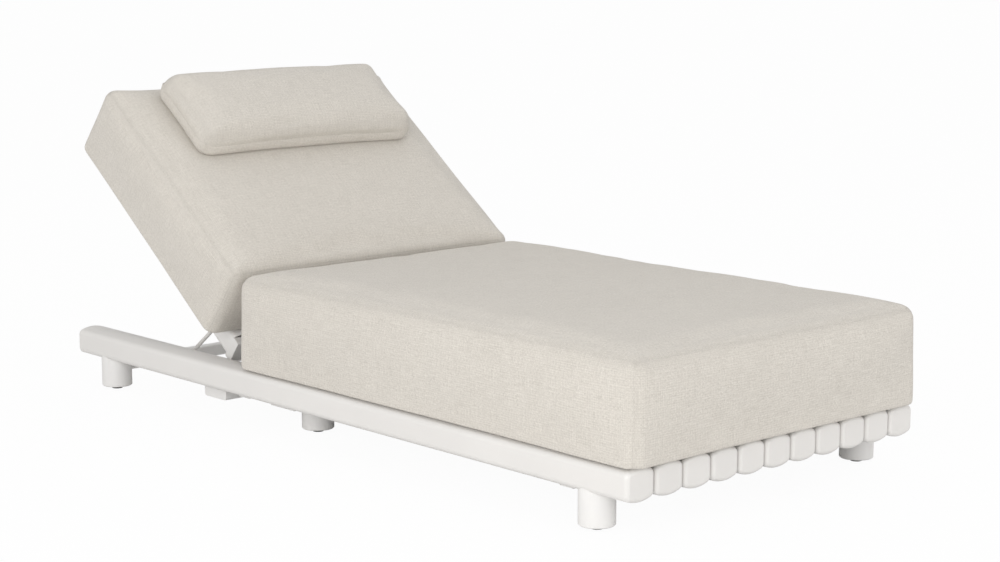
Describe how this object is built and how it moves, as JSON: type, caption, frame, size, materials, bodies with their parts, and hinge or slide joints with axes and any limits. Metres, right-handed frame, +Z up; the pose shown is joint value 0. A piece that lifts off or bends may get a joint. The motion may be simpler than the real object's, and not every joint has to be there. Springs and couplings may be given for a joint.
{
  "type": "spa relaxation lounger",
  "caption": "Wide spa lounger with a white tubular slat platform on round legs, thick woven cushions, a tilting backrest propped by a stay, and a head pillow.",
  "frame": {"origin": "on the floor, below the middle of the footprint", "axes": "+X across the width, +Y from the foot end to the head end, +Z up"},
  "size_m": [0.9, 2.04, 0.8175],
  "materials": {
    "frame_white": "white powder coat on aluminium tube",
    "zinc_steel": "zinc plated steel rivets",
    "black_plastic": "moulded, fine grain",
    "woven_beige": "thick basket weave over foam"
  },
  "bodies": {
    "frame": {"side_rail_left": "frame_white", "side_rail_right": "frame_white", "seat_slat_1": "frame_white", "seat_slat_2": "frame_white", "seat_slat_3": "frame_white", "seat_slat_4": "frame_white", "seat_slat_5": "frame_white", "seat_slat_6": "frame_white", "seat_slat_7": "frame_white", "seat_slat_8": "frame_white", "seat_slat_9": "frame_white", "seat_slat_plugs": "black_plastic", "foot_tie_bar": "frame_white", "middle_tie_bar": "frame_white", "rear_tie_bar": "frame_white", "hinge_beam": "frame_white", "head_cross_tube": "frame_white", "leg_foot_left": "frame_white", "leg_foot_right": "frame_white", "leg_middle_left": "frame_white", "leg_middle_right": "frame_white", "leg_head_left": "frame_white", "leg_head_right": "frame_white", "leg_glides": "black_plastic", "hinge_bracket_left": "frame_white", "hinge_bracket_right": "frame_white", "hinge_pins": "zinc_steel", "stay_rack_left": "frame_white", "stay_rack_right": "frame_white", "seat_cushion": "woven_beige"},
    "backrest": {"back_slat_1": "frame_white", "back_slat_2": "frame_white", "back_slat_3": "frame_white", "back_slat_4": "frame_white", "back_slat_5": "frame_white", "back_slat_6": "frame_white", "back_slat_7": "frame_white", "back_slat_8": "frame_white", "back_slat_9": "frame_white", "panel_base_tube": "frame_white", "panel_stay_bar": "frame_white", "panel_upper_bar": "frame_white", "hinge_arm_left": "frame_white", "hinge_arm_right": "frame_white", "stay_brackets": "frame_white"},
    "stay": {"support_stay": "frame_white", "stay_end_caps": "black_plastic"},
    "back_cushion": {"back_cushion": "woven_beige", "head_pillow": "woven_beige"}
  },
  "joints": [
    {"name": "backrest_tilt", "type": "hinge", "parent": "frame", "child": "backrest", "pos_m": [0, 0.387, 0.058], "axis": [1, 0, 0], "range_deg": [-37.1, 17.7]},
    {"name": "stay_swing", "type": "hinge", "parent": "backrest", "child": "stay", "pos_m": [0, 0.57044, 0.19674], "axis": [1, 0, 0], "range_deg": [-35.5, 74.3]},
    {"name": "back_cushion_shift", "type": "slide", "parent": "backrest", "child": "back_cushion", "axis": [0, 0.7976, 0.6032], "range_m": [-0.1834, 0.0877]}
  ],
  "couplings": [
    {"joint": "stay_swing", "follows": "backrest_tilt", "ratio": -2},
    {"joint": "back_cushion_shift", "follows": "backrest_tilt", "m_per_rad": 0.283}
  ]
}
